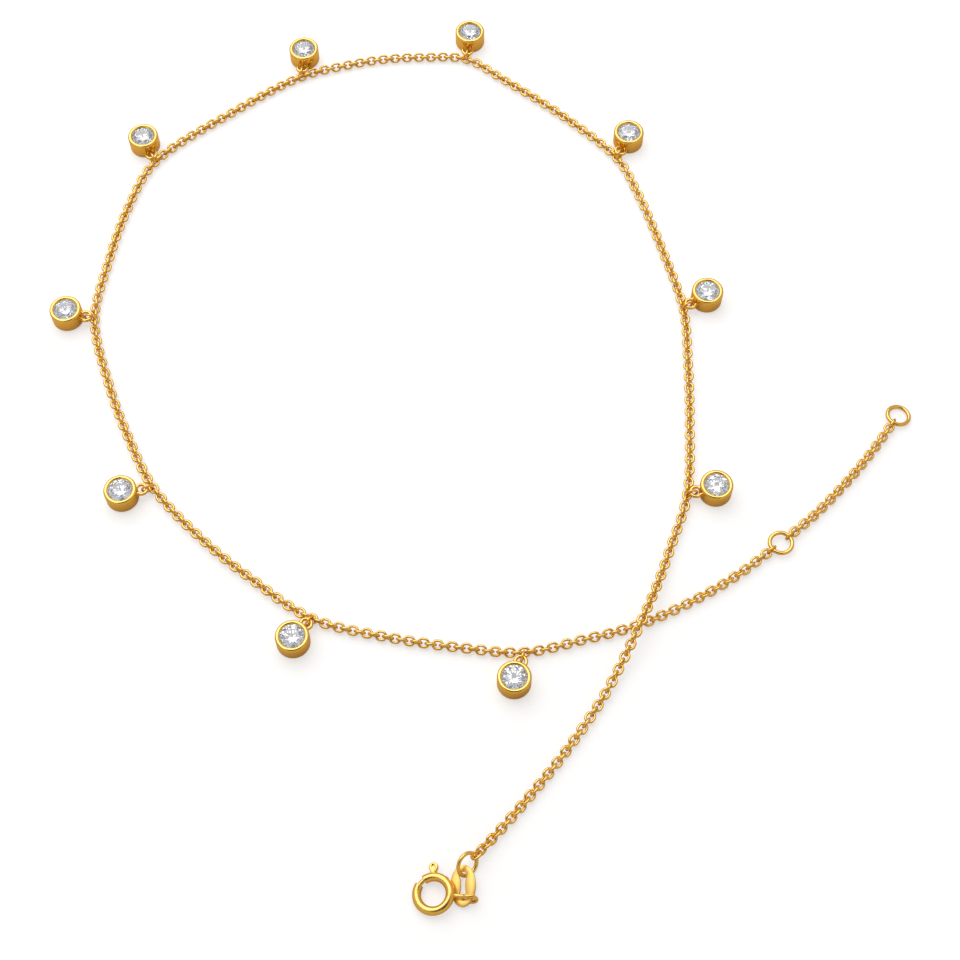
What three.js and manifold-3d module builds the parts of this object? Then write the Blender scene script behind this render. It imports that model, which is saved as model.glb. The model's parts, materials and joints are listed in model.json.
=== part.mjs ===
// A fine gold cable chain lying on a table, with ten bezel-set diamonds hanging from it on small
// links, a spring-ring clasp with its tag at one end, and an adjuster ring, a short extension chain
// and an end ring at the other. Millimetres, +Z up, with the table at z = 0 and angles in degrees.

import * as THREE from 'three';
import { ConvexGeometry } from 'three/addons/geometries/ConvexGeometry.js';
import { mergeVertices } from 'three/addons/utils/BufferGeometryUtils.js';
import Module from 'manifold-3d';

const wasm = await Module();
wasm.setup();

// Chain: a tube as wide as the links, with a real link at each end that holds a ring
const CHAIN_WIDTH = 1.4;
const CHAIN_SIDES = 8;
const CHAIN_STEPS = 37;
const EXTENSION_STEPS = 6;
const CHAIN_TABLE_GAP = 0.02;
const CHAIN_HEIGHT = CHAIN_WIDTH / 2 + CHAIN_TABLE_GAP;
const CHAIN_JOIN_GAP = 0.3;
const LINK_WIRE = 0.34;
const LINK_LENGTH = 1.68;
const LINK_SIDES = 10;
const WIRE_SIDES = 6;
const END_LINK_OFFSET = 0.13;
const TUBE_END_OFFSET = 0.69;

// Where the clasp's strand passes over the other end of the chain
const CROSSING_CLEARANCE = 0.25;
const CROSSING_HEIGHT = CHAIN_HEIGHT + CHAIN_WIDTH + CROSSING_CLEARANCE;
const SHOULDER_HEIGHT = 1.45;
const HUMP_FOOT_HEIGHT = 0.82;

// Diamond: a round brilliant
const STONE_RADIUS = 1.8;
const STONE_FOLD = 8;
const TABLE_RATIO = 0.57;
const CROWN_ANGLE = 34.5;
const PAVILION_ANGLE = 40.75;
const STAR_RATIO = 0.5;
const LOWER_HALF_RATIO = 0.78;
const GIRDLE_THICKNESS = 0.1;
const CULET_HEIGHT = 0.78;

// Bezel: a cup with a half-round rim and a rounded foot, open at the back
const BEZEL_SIDES = 20;
const BEZEL_RADIUS = 2.29;
const BEZEL_OPENING_RADIUS = 1.71;
const BEZEL_HEIGHT = 2.9;
const BEZEL_RIM_STEPS = 4;
const BEZEL_FOOT_RADIUS = 2.24;
const BEZEL_FOOT_ROUND = 0.35;
const BEZEL_FOOT_STEPS = 3;
const BEZEL_BACK_RADIUS = 1.05;
const BEZEL_BACK_HEIGHT = 1.44;
const BEZEL_BORE_RADIUS = 1.92;
const BEZEL_BORE_BOTTOM = 2.26;
const BEZEL_BORE_TOP = 2.5;

// Eye on the bezel's side, and the link that ties it to the chain
const EYE_RADIUS = 0.76;
const EYE_WIRE = 0.48;
const EYE_REACH = 2.84;
const EYE_HEIGHT = 1.3;
const DROP_LINK_RADIUS = 0.78;
const DROP_LINK_WIRE = 0.28;
const DROP_LINK_HEIGHT = 1.06;
const DROP_LINK_SIDES = 12;
const DROP_CLEARANCE = 0.1;

// Spring-ring clasp, leaning over its tag
const CLASP_PLACE = { x: -5.1, y: -69.85, lean: 10 };
const CLASP_DIAMETER = 5.5;
const CLASP_TUBE_RADIUS = 0.575;
const CLASP_BORE_RADIUS = 0.375;
const CLASP_RING_RADIUS = CLASP_DIAMETER / 2 - CLASP_TUBE_RADIUS;
const CLASP_TUBE_SIDES = 12;
const CLASP_BORE_SIDES = 8;
const CLASP_STEPS = 30;
const MOUTH_START = 124;
const MOUTH_END = 146;
const NUB_SLOT = { start: 53, end: 99, innerRadius: 2.3, outerRadius: 3, height: 0.5 };

// Trigger: the tongue inside the clasp's ring and the thumb nub that moves it
const TONGUE_RADIUS = 0.25;
const TONGUE_START = 84;
const TONGUE_END = 152;
const TONGUE_STEPS = 8;
const NUB_WIDTH = 1.2;
const NUB_THICKNESS = 0.56;
const NUB_INNER_RADIUS = 2.86;
const NUB_TIP_RADIUS = 4;
const NUB_BEVEL = 0.12;
const NUB_CURVE_STEPS = 6;
const NECK_WIDTH = 0.5;
const NECK_THICKNESS = 0.28;

// Eyelet soldered to the clasp: an upright loop round one limb of the tag, on a short stem
const EYELET_HEADING = -6;
const EYELET_WIRE = 0.42;
const EYELET_REACH = 4.55;
const EYELET_HEIGHT = -0.72;
const EYELET_RADIUS = 0.78;
const EYELET_LENGTH = 2.3;
const EYELET_SIDES = 14;
const STEM_START = 2.45;
const STEM_END = 4.05;
const STEM_HEIGHT = -0.12;

// Tag: an oval plate with a waisted slot, slung between the eyelet and the jump ring
const TAG_PLACE = { x: 3.68, y: 1.04, z: -0.775, rise: 5.4, roll: -6, turn: -2.2 };
const TAG_HALF_WIDTH = 1.7;
const TAG_HALF_LENGTH = 2.65;
const TAG_THICKNESS = 0.26;
const TAG_CURVE_STEPS = 8;
const SLOT_LOBE_RADIUS = 0.48;
const SLOT_LOBE_REACH = 1.28;
const SLOT_WAIST_PULL = 0.08;

// Rings: the wire's middle radius and thickness, then the centre's place, and the heading and rise
// of one radius with the ring's lean about it
const RING_SIDES = 16;
const TAG_JUMP_RING = {
  radius: 1.5, wire: 0.46, x: -0.8, y: -66.2, z: 1.44, heading: 58.8, rise: 8.6, lean: 52.8,
};
const ADJUSTER_RING = {
  radius: 1.565, wire: 0.57, x: 42.76, y: -20.81, z: CHAIN_HEIGHT, heading: 0, rise: 0, lean: 0,
};
const END_RING = {
  radius: 1.565, wire: 0.57, x: 61.37, y: -0.4, z: 0.51, heading: 50, rise: -7, lean: 0,
};

// The chain's route from the clasp to the top of the loop. A drop is the heading in which a bezel
// lies from that point of the chain, and its reach is the distance to the bezel's axis.
const CLASP_SIDE_ROUTE = [
  { x: 2.6, y: -62.5, z: 0.95 },
  { x: 6.4, y: -58.1, z: 0.74 },
  { x: 12.1, y: -51.0 },
  { x: 17.2, y: -43.6, z: HUMP_FOOT_HEIGHT },
  { x: 20.1, y: -38.4, z: SHOULDER_HEIGHT },
  { x: 22.7, y: -33.1, z: CROSSING_HEIGHT },
  { x: 25.1, y: -27.6, z: SHOULDER_HEIGHT },
  { x: 27.2, y: -21.9, z: HUMP_FOOT_HEIGHT },
  { x: 30.1, y: -13.3, drop: 8.5, reach: 4.04 },
  { x: 31.1, y: -1.5 },
  { x: 31.4, y: 9.0 },
  { x: 31.2, y: 17.7, drop: 29, reach: 4.05 },
  { x: 28.6, y: 28.2 },
  { x: 25.0, y: 39.6 },
  { x: 22.3, y: 45.6, drop: 63, reach: 4.04 },
  { x: 14.3, y: 53.7 },
  { x: 4.9, y: 61.1 },
  { x: -1.4, y: 65.5, drop: 82, reach: 4.08 },
  { x: -8.0, y: 65.9 },
  { x: -14.5, y: 65.5 },
];

// The chain's route from the top of the loop to the adjuster ring
const TAIL_SIDE_ROUTE = [
  { x: -14.5, y: 65.5 },
  { x: -20.9, y: 64.2 },
  { x: -27.9, y: 61.9, drop: 85.5, reach: 4.1 },
  { x: -38.7, y: 54.6 },
  { x: -50.1, y: 44.85, drop: 117, reach: 4.04 },
  { x: -53.5, y: 36.2 },
  { x: -55.6, y: 26.0 },
  { x: -56.6, y: 15.9, drop: 172.5, reach: 4.08 },
  { x: -53.3, y: 4.4 },
  { x: -49.9, y: -3.8 },
  { x: -45.4, y: -12.3, drop: 195.5, reach: 4.5 },
  { x: -37.6, y: -20.6 },
  { x: -30.7, y: -26.3 },
  { x: -22.1, y: -32.2, drop: 234, reach: 4.1 },
  { x: -11.8, y: -34.9 },
  { x: -2.0, y: -36.4 },
  { x: 6.8, y: -37.1, drop: 251.5, reach: 4.5 },
  { x: 14.7, y: -35.3 },
  { x: 22.7, y: -33.0 },
  { x: 31.4, y: -28.8 },
  { x: 36.5, y: -25.6 },
];

// The middle of the extension chain, between the two fastening rings
const EXTENSION_ROUTE = [
  { x: 47.9, y: -16.4 },
  { x: 53.0, y: -11.1 },
  { x: 57.0, y: -6.3 },
];

const GOLD = new THREE.MeshStandardMaterial({ color: 0xe2aa3c, roughness: 0.15, metalness: 1 });
const DIAMOND = new THREE.MeshStandardMaterial({ color: 0xf4f6fa, roughness: 0.02, metalness: 0 });

const MERGE_DISTANCE = 1e-5;

const radians = THREE.MathUtils.degToRad;

function toSolid(geometry) {
  const plain = geometry.clone();
  plain.deleteAttribute('normal');
  plain.deleteAttribute('uv');
  const merged = mergeVertices(plain, MERGE_DISTANCE);
  return new wasm.Manifold(new wasm.Mesh({
    numProp: 3,
    vertProperties: merged.attributes.position.array,
    triVerts: Uint32Array.from(merged.index.array),
  }));
}

function toGeometry(solid) {
  const { vertProperties, triVerts } = solid.getMesh();
  const geometry = new THREE.BufferGeometry();
  geometry.setAttribute('position', new THREE.BufferAttribute(vertProperties, 3));
  geometry.setIndex(new THREE.BufferAttribute(triVerts, 1));
  geometry.computeVertexNormals();
  return geometry;
}

function join(...geometries) {
  return toGeometry(geometries.map(toSolid).reduce((whole, next) => whole.add(next)));
}

function named(name, geometry, material = GOLD) {
  const piece = new THREE.Mesh(geometry, material);
  piece.name = name;
  return piece;
}

function polygon(radius, sides) {
  return Array.from({ length: sides }, (_, side) => {
    const turn = (2 * Math.PI * side) / sides;
    return new THREE.Vector2(radius * Math.cos(turn), radius * Math.sin(turn));
  });
}

function sweep(section, path, steps) {
  return new THREE.ExtrudeGeometry(section, { steps, extrudePath: path, bevelEnabled: false });
}

// Part of a flat circle about the origin
class FlatArc extends THREE.Curve {
  constructor(radius, start, end) {
    super();
    Object.assign(this, { radius, start, end });
  }

  getPoint(t) {
    const turn = radians(THREE.MathUtils.lerp(this.start, this.end, t));
    return new THREE.Vector3(this.radius * Math.cos(turn), this.radius * Math.sin(turn), 0);
  }
}

// An upright wire loop in the XZ plane, drawn out along X to the given outer length
function wireLoop(radius, wire, sides, length = 2 * radius + wire) {
  const loop = new THREE.TorusGeometry(radius, wire / 2, WIRE_SIDES, sides);
  const shift = (length - wire) / 2 - radius;
  const { position } = loop.attributes;
  for (let i = 0; i < position.count; i += 1) {
    const x = position.getX(i);
    position.setX(i, x + Math.sign(x) * shift);
  }
  return loop.rotateX(Math.PI / 2);
}

function ringMesh(name, { radius, wire, x, y, z, heading, rise, lean }) {
  const ring = named(name, new THREE.TorusGeometry(radius, wire / 2, WIRE_SIDES, RING_SIDES));
  ring.position.set(x, y, z);
  ring.rotation.set(radians(lean), radians(-rise), radians(heading), 'ZYX');
  ring.updateMatrix();
  ring.userData.radius = radius;
  return ring;
}

function routePoint({ x, y, z = CHAIN_HEIGHT }) {
  return new THREE.Vector3(x, y, z);
}

function stationsOf(route) {
  return route.filter((row) => row.drop !== undefined);
}

// The link that holds a ring's wire at the side nearest to the next point of the chain, and the
// point behind it where the chain's tube begins
function holdRing(ring, next) {
  const inPlane = next.clone().applyMatrix4(ring.matrix.clone().invert()).setZ(0);
  const onWire = inPlane.clone().setLength(ring.userData.radius);
  const wireRun = new THREE.Vector3(-onWire.y, onWire.x, 0).transformDirection(ring.matrix);
  const held = onWire.applyMatrix4(ring.matrix);
  const along = next.clone().sub(held).normalize();
  const up = new THREE.Vector3().crossVectors(along, wireRun).normalize();
  const across = new THREE.Vector3().crossVectors(up, along);
  const place = new THREE.Matrix4().makeBasis(along, across, up)
    .setPosition(held.clone().addScaledVector(along, END_LINK_OFFSET));
  const link = wireLoop((CHAIN_WIDTH - LINK_WIRE) / 2, LINK_WIRE, LINK_SIDES, LINK_LENGTH);
  return {
    link: toSolid(link.applyMatrix4(place)),
    tubeEnd: held.clone().addScaledVector(along, TUBE_END_OFFSET),
  };
}

// The upright link of a drop, midway between its point on the chain and its bezel's eye
function dropLinkGeometry(reach, wire) {
  return wireLoop(DROP_LINK_RADIUS, wire, DROP_LINK_SIDES)
    .translate((reach - EYE_REACH) / 2, 0, DROP_LINK_HEIGHT);
}

// The eye on a bezel's side, at its place from the bezel's axis
function eyeGeometry(wire) {
  return new THREE.TorusGeometry(EYE_RADIUS, wire / 2, WIRE_SIDES, LINK_SIDES)
    .translate(-EYE_REACH, 0, EYE_HEIGHT);
}

// A drop's own frame: +X runs from its point on the chain to its bezel
function dropFrame(station) {
  const frame = new THREE.Group();
  frame.position.set(station.x, station.y, 0);
  frame.rotation.z = radians(station.drop);
  frame.updateMatrix();
  return frame;
}

// A stretch of chain along its route, with its end links, cut clear where drops hang from it
function chainMesh(name, points, steps, endLinks, stations = []) {
  const path = new THREE.CatmullRomCurve3(points, false, 'centripetal');
  const section = new THREE.Shape(polygon(CHAIN_WIDTH / 2, CHAIN_SIDES));
  let chain = toSolid(sweep(section, path, steps));
  for (const link of endLinks) {
    chain = chain.add(link);
  }
  for (const station of stations) {
    const { matrix } = dropFrame(station);
    const linkRoom = dropLinkGeometry(station.reach, DROP_LINK_WIRE + 2 * DROP_CLEARANCE);
    const eyeRoom = eyeGeometry(EYE_WIRE + 2 * DROP_CLEARANCE).translate(station.reach, 0, 0);
    chain = chain.subtract(toSolid(linkRoom.applyMatrix4(matrix)));
    chain = chain.subtract(toSolid(eyeRoom.applyMatrix4(matrix)));
  }
  return named(name, toGeometry(chain));
}

function chains(jumpRing, adjusterRing, endRing) {
  const claspSide = CLASP_SIDE_ROUTE.map(routePoint);
  const tailSide = TAIL_SIDE_ROUTE.map(routePoint);
  const extension = EXTENSION_ROUTE.map(routePoint);

  const meeting = claspSide.pop();
  tailSide.shift();
  const backFrom = (next) => next.clone().sub(meeting).setLength(CHAIN_JOIN_GAP / 2).add(meeting);

  const claspEnd = holdRing(jumpRing, claspSide[0]);
  const adjusterEnd = holdRing(adjusterRing, tailSide.at(-1));
  const extensionStart = holdRing(adjusterRing, extension[0]);
  const extensionEnd = holdRing(endRing, extension.at(-1));
  return [
    chainMesh('chain_clasp_side', [claspEnd.tubeEnd, ...claspSide, backFrom(claspSide.at(-1))],
      CHAIN_STEPS, [claspEnd.link], stationsOf(CLASP_SIDE_ROUTE)),
    chainMesh('chain_tail_side', [backFrom(tailSide[0]), ...tailSide, adjusterEnd.tubeEnd],
      CHAIN_STEPS, [adjusterEnd.link], stationsOf(TAIL_SIDE_ROUTE)),
    chainMesh('extension_chain', [extensionStart.tubeEnd, ...extension, extensionEnd.tubeEnd],
      EXTENSION_STEPS, [extensionStart.link, extensionEnd.link]),
  ];
}

// Table, crown, girdle and pavilion of a round brilliant, as the hull of its facets' corners
function stoneGeometry() {
  const crownSlope = Math.tan(radians(CROWN_ANGLE));
  const pavilionSlope = Math.tan(radians(PAVILION_ANGLE));
  const halfStep = Math.PI / STONE_FOLD;
  const girdleBottom = CULET_HEIGHT + STONE_RADIUS * pavilionSlope;
  const girdleTop = girdleBottom + GIRDLE_THICKNESS;
  const tableRadius = STONE_RADIUS * TABLE_RATIO;
  const tableEdge = tableRadius * Math.cos(halfStep);
  const starRadius = THREE.MathUtils.lerp(tableEdge, STONE_RADIUS, STAR_RATIO);
  const lowerRadius = STONE_RADIUS * (1 - LOWER_HALF_RATIO);
  const onCrown = (reach) => girdleTop + (STONE_RADIUS - reach) * crownSlope;
  const onPavilion = (reach) => CULET_HEIGHT + reach * pavilionSlope;
  const corner = (radius, turn, z) => (
    new THREE.Vector3(radius * Math.cos(turn), radius * Math.sin(turn), z));

  const corners = [new THREE.Vector3(0, 0, CULET_HEIGHT)];
  for (let i = 0; i < STONE_FOLD; i += 1) {
    const turn = 2 * halfStep * i;
    const between = turn + halfStep;
    corners.push(
      corner(tableRadius, turn, onCrown(tableRadius)),
      corner(starRadius, between, onCrown(starRadius * Math.cos(halfStep))),
      corner(STONE_RADIUS, turn, girdleTop),
      corner(STONE_RADIUS, between, girdleTop),
      corner(STONE_RADIUS, turn, girdleBottom),
      corner(STONE_RADIUS, between, girdleBottom),
      corner(lowerRadius, between, onPavilion(lowerRadius * Math.cos(halfStep))),
    );
  }
  return new ConvexGeometry(corners);
}

// Foot, wall, rim and seat of a bezel turned round its axis, with the eye soldered to its side
function bezelGeometry() {
  const rimRound = (BEZEL_RADIUS - BEZEL_OPENING_RADIUS) / 2;
  const arc = (x, y, radius, start, end) => (
    new THREE.EllipseCurve(x, y, radius, radius, radians(start), radians(end)));
  const foot = arc(
    BEZEL_FOOT_RADIUS - BEZEL_FOOT_ROUND, BEZEL_FOOT_ROUND, BEZEL_FOOT_ROUND, -90, 0);
  const rim = arc(BEZEL_RADIUS - rimRound, BEZEL_HEIGHT - rimRound, rimRound, 0, 180);
  const profile = [
    new THREE.Vector2(BEZEL_BACK_RADIUS, 0),
    ...foot.getPoints(BEZEL_FOOT_STEPS),
    ...rim.getPoints(BEZEL_RIM_STEPS),
    new THREE.Vector2(BEZEL_BORE_RADIUS, BEZEL_BORE_TOP),
    new THREE.Vector2(BEZEL_BORE_RADIUS, BEZEL_BORE_BOTTOM),
    new THREE.Vector2(BEZEL_BACK_RADIUS, BEZEL_BACK_HEIGHT),
    new THREE.Vector2(BEZEL_BACK_RADIUS, 0),
  ];
  const cup = new THREE.LatheGeometry(profile, BEZEL_SIDES).rotateX(Math.PI / 2);
  return join(cup, eyeGeometry(EYE_WIRE));
}

function drops() {
  const stations = stationsOf([...CLASP_SIDE_ROUTE, ...TAIL_SIDE_ROUTE]);
  const bezel = bezelGeometry();
  const stone = stoneGeometry();
  return stations.map((station, i) => {
    const number = String(i + 1).padStart(2, '0');
    const bezelMesh = named(`bezel_${number}`, bezel);
    const stoneMesh = named(`stone_${number}`, stone, DIAMOND);
    const link = dropLinkGeometry(station.reach, DROP_LINK_WIRE);
    bezelMesh.position.x = station.reach;
    stoneMesh.position.x = station.reach;
    return dropFrame(station).add(bezelMesh, stoneMesh, named(`drop_link_${number}`, link));
  });
}

// The clasp's hollow ring with its mouth and nub slot, and the eyelet on its stem
function claspRingMesh() {
  const section = new THREE.Shape(polygon(CLASP_TUBE_RADIUS, CLASP_TUBE_SIDES));
  section.holes.push(new THREE.Path(polygon(CLASP_BORE_RADIUS, CLASP_BORE_SIDES)));
  const round = new FlatArc(CLASP_RING_RADIUS, MOUTH_END, MOUTH_START + 360);
  const { start, end, innerRadius, outerRadius, height } = NUB_SLOT;
  const slotOutline = new THREE.Shape()
    .absarc(0, 0, outerRadius, radians(start), radians(end), false)
    .absarc(0, 0, innerRadius, radians(end), radians(start), true);
  const slot = new THREE.ExtrudeGeometry(slotOutline, {
    depth: height, bevelEnabled: false, curveSegments: TONGUE_STEPS,
  }).translate(0, 0, -height / 2);
  const loop = wireLoop(EYELET_RADIUS, EYELET_WIRE, EYELET_SIDES, EYELET_LENGTH)
    .translate(EYELET_REACH, 0, EYELET_HEIGHT);
  const stem = new THREE.CylinderGeometry(
    EYELET_WIRE / 2, EYELET_WIRE / 2, STEM_END - STEM_START, WIRE_SIDES)
    .rotateZ(Math.PI / 2)
    .translate((STEM_START + STEM_END) / 2, 0, STEM_HEIGHT);
  const bore = toSolid(sweep(
    new THREE.Shape(polygon(CLASP_BORE_RADIUS, CLASP_BORE_SIDES)), round, CLASP_STEPS));
  const eyelet = toSolid(join(loop, stem).rotateZ(radians(EYELET_HEADING)));
  const ring = toSolid(sweep(section, round, CLASP_STEPS)).subtract(toSolid(slot));
  return named('clasp_ring', toGeometry(ring.add(eyelet.subtract(bore))));
}

// The tongue that closes the clasp's mouth, with its neck and thumb nub
function claspTriggerMesh() {
  const tongue = sweep(new THREE.Shape(polygon(TONGUE_RADIUS, CLASP_BORE_SIDES)),
    new FlatArc(CLASP_RING_RADIUS, TONGUE_START, TONGUE_END), TONGUE_STEPS);
  const halfWidth = NUB_WIDTH / 2;
  const outline = new THREE.Shape()
    .moveTo(-halfWidth, NUB_INNER_RADIUS)
    .lineTo(halfWidth, NUB_INNER_RADIUS)
    .absarc(0, NUB_TIP_RADIUS - halfWidth, halfWidth, 0, Math.PI, false);
  const nub = new THREE.ExtrudeGeometry(outline, {
    depth: NUB_THICKNESS - 2 * NUB_BEVEL,
    bevelThickness: NUB_BEVEL,
    bevelSize: NUB_BEVEL,
    bevelOffset: -NUB_BEVEL,
    bevelSegments: 1,
    curveSegments: NUB_CURVE_STEPS,
  }).translate(0, 0, NUB_BEVEL - NUB_THICKNESS / 2);
  const neckLength = NUB_TIP_RADIUS - halfWidth - CLASP_RING_RADIUS;
  const neck = new THREE.BoxGeometry(NECK_WIDTH, neckLength, NECK_THICKNESS)
    .translate(0, CLASP_RING_RADIUS + neckLength / 2, 0);
  return named('clasp_trigger', join(tongue, nub, neck));
}

function claspTagMesh() {
  const outline = new THREE.Shape().absellipse(0, 0, TAG_HALF_WIDTH, TAG_HALF_LENGTH, 0, 2 * Math.PI);
  const slot = new THREE.Path()
    .absarc(0, SLOT_LOBE_REACH, SLOT_LOBE_RADIUS, 0, Math.PI, false)
    .quadraticCurveTo(-SLOT_WAIST_PULL, 0, -SLOT_LOBE_RADIUS, -SLOT_LOBE_REACH)
    .absarc(0, -SLOT_LOBE_REACH, SLOT_LOBE_RADIUS, Math.PI, 2 * Math.PI, false)
    .quadraticCurveTo(SLOT_WAIST_PULL, 0, SLOT_LOBE_RADIUS, SLOT_LOBE_REACH);
  outline.holes.push(slot);
  const plate = new THREE.ExtrudeGeometry(outline, {
    depth: TAG_THICKNESS, bevelEnabled: false, curveSegments: TAG_CURVE_STEPS,
  });
  const tag = named('clasp_tag', plate.translate(0, 0, -TAG_THICKNESS / 2));
  tag.position.set(TAG_PLACE.x, TAG_PLACE.y, TAG_PLACE.z);
  tag.rotation.set(
    radians(TAG_PLACE.rise), radians(TAG_PLACE.roll), radians(TAG_PLACE.turn), 'ZYX');
  return tag;
}

// The clasp's own frame, with the ring flat in XY, leaning so that its left side rests on the table
function clasp() {
  const frame = new THREE.Group();
  const lean = radians(CLASP_PLACE.lean);
  const height = CLASP_RING_RADIUS * Math.sin(lean) + CLASP_TUBE_RADIUS;
  frame.position.set(CLASP_PLACE.x, CLASP_PLACE.y, height);
  frame.rotation.y = -lean;
  return frame.add(claspRingMesh(), claspTriggerMesh(), claspTagMesh());
}

const jumpRing = ringMesh('tag_jump_ring', TAG_JUMP_RING);
const adjusterRing = ringMesh('adjuster_ring', ADJUSTER_RING);
const endRing = ringMesh('end_ring', END_RING);

const necklace = new THREE.Group();
necklace.add(...chains(jumpRing, adjusterRing, endRing), ...drops());
necklace.add(clasp(), jumpRing, adjusterRing, endRing);

export default necklace;
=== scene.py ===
# The looks of a fine gold necklace with ten bezel-set diamonds, laid out on a white table.
# Sizes are in millimetres and angles in degrees until a piece is finished, which is in metres.

import json
import math
import random
from collections import namedtuple

import bmesh
import bpy
import numpy as np
from mathutils import Euler, Matrix, Vector


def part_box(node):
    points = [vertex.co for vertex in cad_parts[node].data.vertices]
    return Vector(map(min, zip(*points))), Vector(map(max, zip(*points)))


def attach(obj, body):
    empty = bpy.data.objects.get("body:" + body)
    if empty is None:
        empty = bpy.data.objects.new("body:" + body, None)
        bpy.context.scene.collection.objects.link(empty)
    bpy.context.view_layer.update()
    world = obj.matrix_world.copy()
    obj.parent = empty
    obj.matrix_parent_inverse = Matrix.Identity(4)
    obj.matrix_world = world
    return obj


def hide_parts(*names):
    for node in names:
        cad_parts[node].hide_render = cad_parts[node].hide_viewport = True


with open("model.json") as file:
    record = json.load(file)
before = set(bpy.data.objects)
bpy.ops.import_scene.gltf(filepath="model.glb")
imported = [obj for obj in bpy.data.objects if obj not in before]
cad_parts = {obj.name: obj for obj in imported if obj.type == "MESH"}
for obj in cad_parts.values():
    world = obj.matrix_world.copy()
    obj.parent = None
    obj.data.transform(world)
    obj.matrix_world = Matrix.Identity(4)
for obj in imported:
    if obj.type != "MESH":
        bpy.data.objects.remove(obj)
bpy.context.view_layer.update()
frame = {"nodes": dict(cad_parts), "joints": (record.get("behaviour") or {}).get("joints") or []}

MM = 0.001

# Photograph's view
CAMERA_PLACE = (0.8, -123.2, 221.0)
CAMERA_AIM = (0.8, -10.6, 0.0)
CAMERA_LENS = 65.3
CAMERA_NEAR = 10.0
CAMERA_FAR = 5000.0

# Cable chain
LINK_WIDTH = 1.54
LINK_LENGTH = 1.78
LINK_WIRE = 0.39
LINK_STEPS = 14
LINK_SIDES = 6
LINK_PITCH = 0.96
LINK_JITTER = 7.0
LINK_JITTER_SEED = 5
CHAIN_HEIGHT = 0.72
END_LINK_OFFSET = 0.2
CHAIN_START_OFFSET = 0.69
PATH_SAMPLES = 60

# Bezel and its eye
BEZEL_RADIUS = 2.33
BEZEL_OPENING = 1.71
BEZEL_HEIGHT = 2.93
BEZEL_INNER_HEIGHT = 2.84
BEZEL_EDGE_HEIGHT = 2.61
BEZEL_SHOULDER_ROUND = 0.38
BEZEL_LIP_ROUND = 0.22
BEZEL_FOOT_RADIUS = 2.32
BEZEL_FOOT_ROUND = 0.45
BEZEL_BACK_RADIUS = 1.05
BEZEL_BACK_HEIGHT = 1.44
BEZEL_BORE_RADIUS = 1.92
BEZEL_BORE_BOTTOM = 2.26
BEZEL_BORE_TOP = 2.5
BEZEL_STEPS = 72
BEZEL_ROUND_STEPS = 8
BEZEL_LIP_STEPS = 6
BEZEL_MERGE = 0.01
EYE_RADIUS = 0.76
EYE_WIRE = 0.48
EYE_REACH = 2.84
EYE_HEIGHT = 1.3
EYE_STEPS = 40

# Link between a bezel's eye and the chain
DROP_LINK_RADIUS = 0.78
DROP_LINK_WIRE = 0.32
DROP_LINK_STEPS = 36
DROP_LINK_SIDES = 12

# Spring-ring clasp
CLASP_RING_RADIUS = 2.175
CLASP_TUBE_RADIUS = 0.575
CLASP_TUBE_SIDES = 24
CLASP_TUBE_STEPS = 80
CLASP_BORE_RADIUS = 0.375
CLASP_BORE_SIDES = 20
CLASP_BORE_OVERRUN = 4
MOUTH_START = 124
MOUTH_END = 146
LIP_ROUND = 0.07
LIP_STEPS = 3
NUB_SLOT_START = 53
NUB_SLOT_END = 99
NUB_SLOT_INNER = 2.3
NUB_SLOT_OUTER = 3.0
NUB_SLOT_HEIGHT = 0.5
NUB_SLOT_STEPS = 16
EYELET_HEADING = -6
EYELET_WIRE = 0.5
EYELET_REACH = 4.55
EYELET_HEIGHT = -0.72
EYELET_RADIUS = 0.78
EYELET_LENGTH = 2.34
EYELET_LEAN = -14
EYELET_STEPS = 42
STEM_START = 2.45
STEM_END = 4.05
STEM_HEIGHT = -0.12

# Sliding trigger of the clasp
TONGUE_RADIUS = 0.29
TONGUE_START = 84
TONGUE_END = 152
TONGUE_ROUND = 0.1
TONGUE_ROUND_STEPS = 3
TONGUE_SIDES = 16
TONGUE_STEPS = 20
NUB_RADIUS = 0.6
NUB_CENTRE = 3.4
NUB_FOOT_RADIUS = 0.42
NUB_FOOT_CENTRE = 2.95
NUB_THICKNESS = 0.56
NUB_ROUND = 0.13
NUB_ROUND_STEPS = 4
NUB_SIDES = 32
NECK_WIDTH = 0.6
NECK_THICKNESS = 0.28
DIMPLE_PLACE = (0.0, 3.36, 0.32)
DIMPLE_SIZE = (0.34, 0.47, 0.1)
DIMPLE_SIDES = 24
DIMPLE_RINGS = 14

# Tag between the clasp and the jump ring, in the clasp's frame
TAG_PLACE = (3.68, 1.04, -0.775)
TAG_TURN = (5.4, -6.0, -2.2)
TAG_HALF_WIDTH = 1.7
TAG_HALF_LENGTH = 2.65
TAG_THICKNESS = 0.26
TAG_ROUND = 0.08
TAG_ROUND_STEPS = 3
SLOT_LOBE_RADIUS = 0.48
SLOT_LOBE_REACH = 1.28
SLOT_WAIST = 0.28
SLOT_WAIST_CUTS = 11
SLOT_LOBE_SIDES = 48

# Drops along the chain
DROP_NUMBERS = range(1, 11)

# Loose rings: heading and rise of one radius, then the lean about it
Ring = namedtuple("Ring", "node radius wire heading rise lean")
TAG_JUMP_RING = Ring("tag_jump_ring", 1.5, 0.5, 58.8, 8.6, 52.8)
ADJUSTER_RING = Ring("adjuster_ring", 1.565, 0.57, 0.0, 0.0, 0.0)
END_RING = Ring("end_ring", 1.565, 0.57, 50.0, -7.0, 0.0)
RING_STEPS = 72
WIRE_SIDES = 16

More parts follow.
